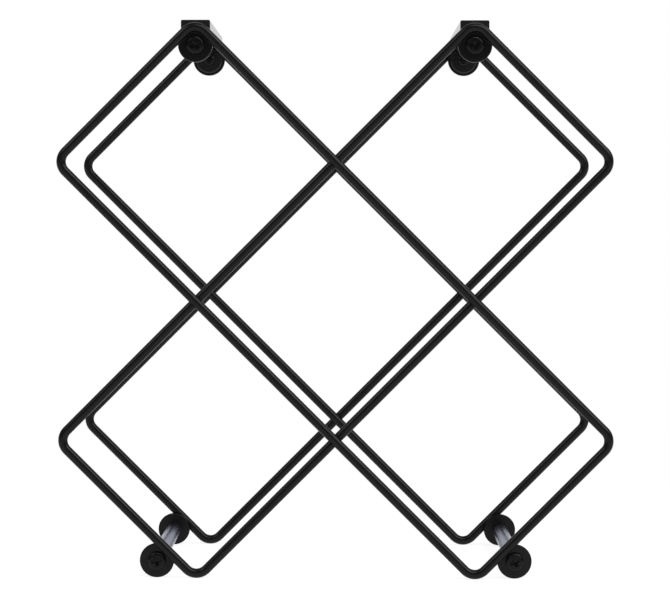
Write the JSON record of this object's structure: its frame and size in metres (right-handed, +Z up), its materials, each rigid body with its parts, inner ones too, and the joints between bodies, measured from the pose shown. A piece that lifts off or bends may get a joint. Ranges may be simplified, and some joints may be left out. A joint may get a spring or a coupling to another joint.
{
  "type": "wine rack",
  "caption": "Free-standing counter-top wine rack: crossed black wire loops at front and back form diamond cells, joined by flat-topped rails and bright spacer tubes.",
  "frame": {"origin": "on the floor, under the middle of the rack", "axes": "+X to the right seen from the front, +Y from the front lattice to the rear one, +Z up"},
  "size_m": [0.28, 0.15, 0.2816],
  "materials": {
    "black_powder_coat": "satin black powder coat with a fine texture",
    "bright_steel": "bright plated steel tube with faint drawing lines",
    "black_screw_finish": "black oxide, slightly glossy"
  },
  "bodies": {
    "root": {"front_left_loop": "black_powder_coat", "front_right_loop": "black_powder_coat", "rear_left_loop": "black_powder_coat", "rear_right_loop": "black_powder_coat", "front_left_top_plate": "black_powder_coat", "front_right_top_plate": "black_powder_coat", "rear_left_top_plate": "black_powder_coat", "rear_right_top_plate": "black_powder_coat", "front_left_foot_plate": "black_powder_coat", "front_right_foot_plate": "black_powder_coat", "rear_left_foot_plate": "black_powder_coat", "rear_right_foot_plate": "black_powder_coat", "left_top_rail": "black_powder_coat", "right_top_rail": "black_powder_coat", "left_spacer_tube": "bright_steel", "right_spacer_tube": "bright_steel", "front_left_top_screw": "black_screw_finish", "front_right_top_screw": "black_screw_finish", "rear_left_top_screw": "black_screw_finish", "rear_right_top_screw": "black_screw_finish", "front_left_foot_screw": "black_screw_finish", "front_right_foot_screw": "black_screw_finish", "rear_left_foot_screw": "black_screw_finish", "rear_right_foot_screw": "black_screw_finish"}
  },
  "joints": []
}
